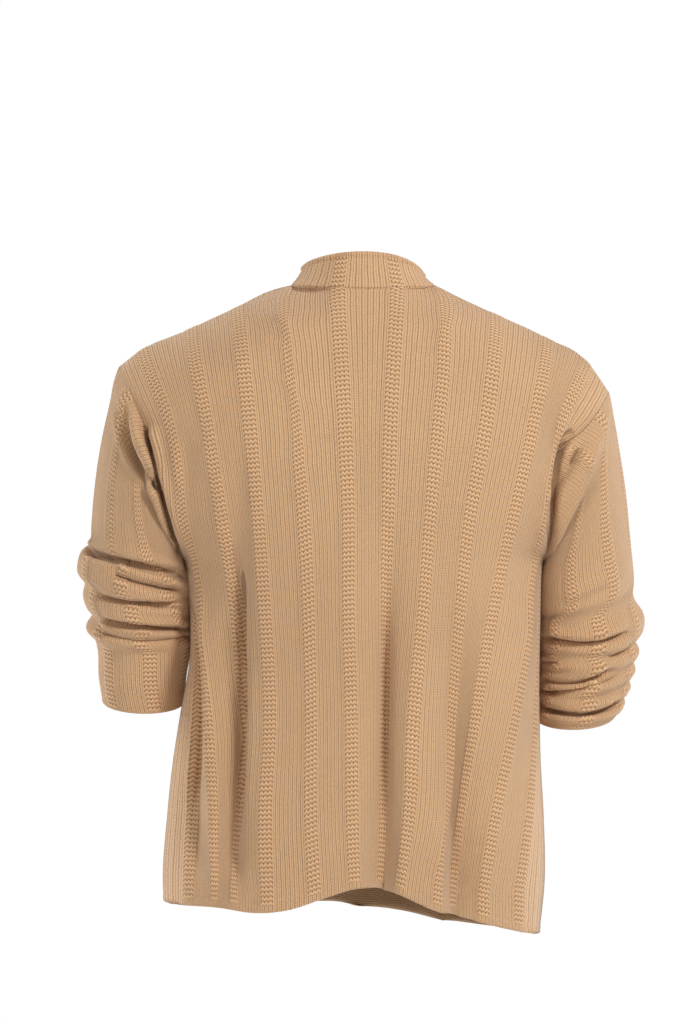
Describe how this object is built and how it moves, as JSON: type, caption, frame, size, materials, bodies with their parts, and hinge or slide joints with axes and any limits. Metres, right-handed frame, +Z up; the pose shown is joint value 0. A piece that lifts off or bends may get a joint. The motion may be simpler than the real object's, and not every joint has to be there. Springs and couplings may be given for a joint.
{
  "type": "turtleneck sweater",
  "caption": "Knitted wool sweater with a low funnel neck, raised purl columns and gathered sleeves, hollow and hanging as worn with the arms down.",
  "frame": {"origin": "middle of the neck seam, between the two neck points where the shoulder seams end, where the garment hangs on its wearer", "axes": "+Z up, -Y the way the wearer faces, +X the wearer's left"},
  "size_m": [0.6057, 0.251, 0.7264],
  "materials": {
    "wool": "matt, softly fuzzy camel knit"
  },
  "bodies": {
    "root": {"back": "wool", "front": "wool", "sleeve_left": "wool", "sleeve_right": "wool", "collar": "wool"}
  },
  "joints": []
}
